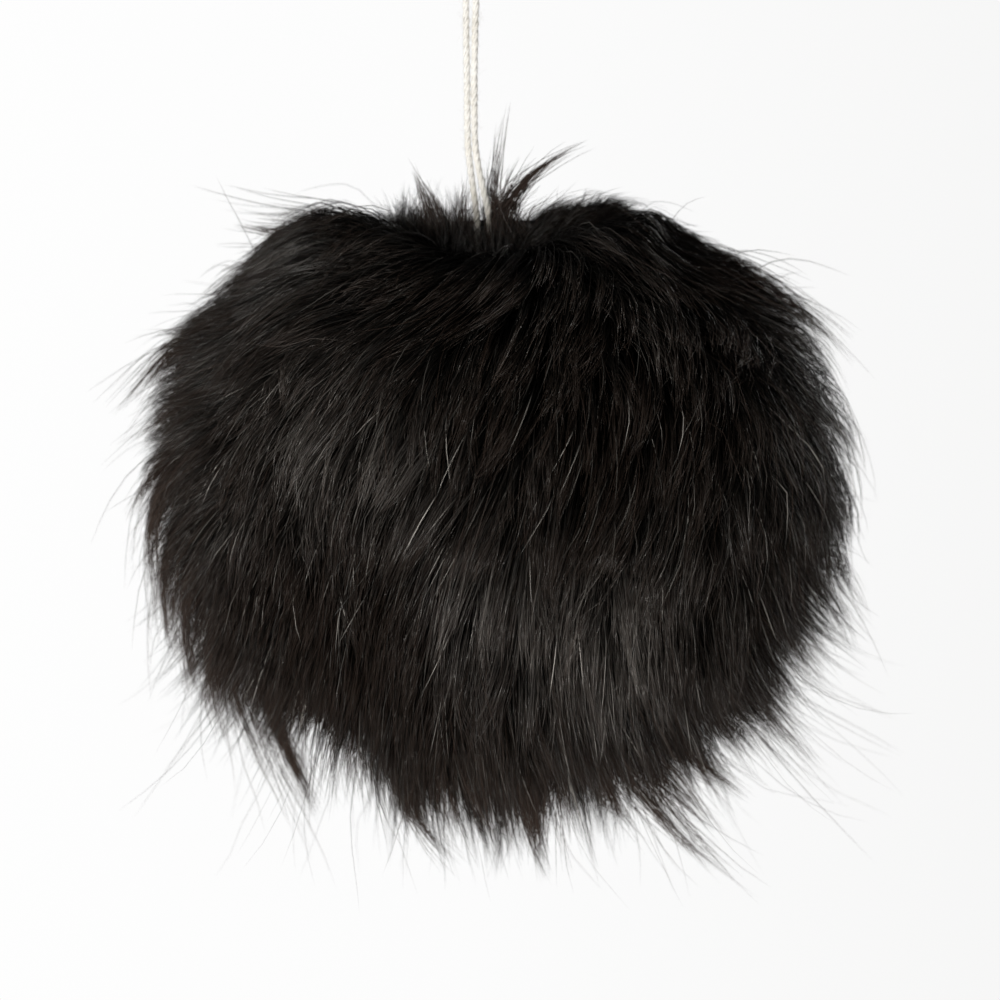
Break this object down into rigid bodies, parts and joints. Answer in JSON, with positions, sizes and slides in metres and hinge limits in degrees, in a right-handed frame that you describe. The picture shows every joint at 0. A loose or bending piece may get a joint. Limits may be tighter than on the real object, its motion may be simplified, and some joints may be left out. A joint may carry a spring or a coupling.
{
  "type": "furry windscreen",
  "caption": "Round long-pile fur windscreen over a foam ball, with a rubber-lined microphone socket in its top and a doubled drawcord that closes the mouth.",
  "frame": {"origin": "centre of the flat seat at the bottom of the microphone socket, which is the centre of the foam ball", "axes": "+Z out through the mouth along the socket, -Y the front, where the drawcord leaves the hem, +X to the right seen from the front"},
  "size_m": [0.1188, 0.1188, 0.1597],
  "materials": {
    "fur": "satin",
    "foam": "matte",
    "sleeve_rubber": "matte",
    "hem_tape": "matte",
    "thread": "satin",
    "cord_cotton": "matte"
  },
  "bodies": {
    "windscreen": {"foam_core": "foam", "mic_sleeve": "sleeve_rubber", "fur_gore_front": "fur", "fur_gore_right": "fur", "fur_gore_back": "fur", "fur_gore_left": "fur", "seam_front_right": "thread", "seam_back_right": "thread", "seam_back_left": "thread", "seam_front_left": "thread", "mouth_hem": "hem_tape", "hem_stitching": "thread", "drawcord_in_hem": "cord_cotton"},
    "cord_draw": {"cord_left_root": "cord_cotton", "cord_right_root": "cord_cotton"},
    "cord_lean": {"cord_left_low": "cord_cotton", "cord_right_low": "cord_cotton"},
    "cord_swing": {"cord_left_middle": "cord_cotton", "cord_right_middle": "cord_cotton"},
    "cord_end": {"cord_left_top": "cord_cotton", "cord_right_top": "cord_cotton", "cord_knot": "cord_cotton", "cord_tail_left": "cord_cotton", "cord_tail_right": "cord_cotton"}
  },
  "joints": [
    {"name": "cord_pull", "type": "slide", "parent": "windscreen", "child": "cord_draw", "axis": [0, 0, 1], "range_m": [0, 0.008]},
    {"name": "cord_lean_side", "type": "hinge", "parent": "cord_draw", "child": "cord_lean", "pos_m": [-0.0031, -0.0136, 0.045], "axis": [0, 1, 0], "range_deg": [-60, 60]},
    {"name": "cord_lean_front", "type": "hinge", "parent": "cord_lean", "child": "cord_swing", "pos_m": [-0.00395, -0.0136, 0.051], "axis": [1, 0, 0], "range_deg": [-60, 60]},
    {"name": "cord_bend", "type": "hinge", "parent": "cord_swing", "child": "cord_end", "pos_m": [-0.0046, -0.0136, 0.069], "axis": [0, 1, 0], "range_deg": [-35, 35]}
  ]
}
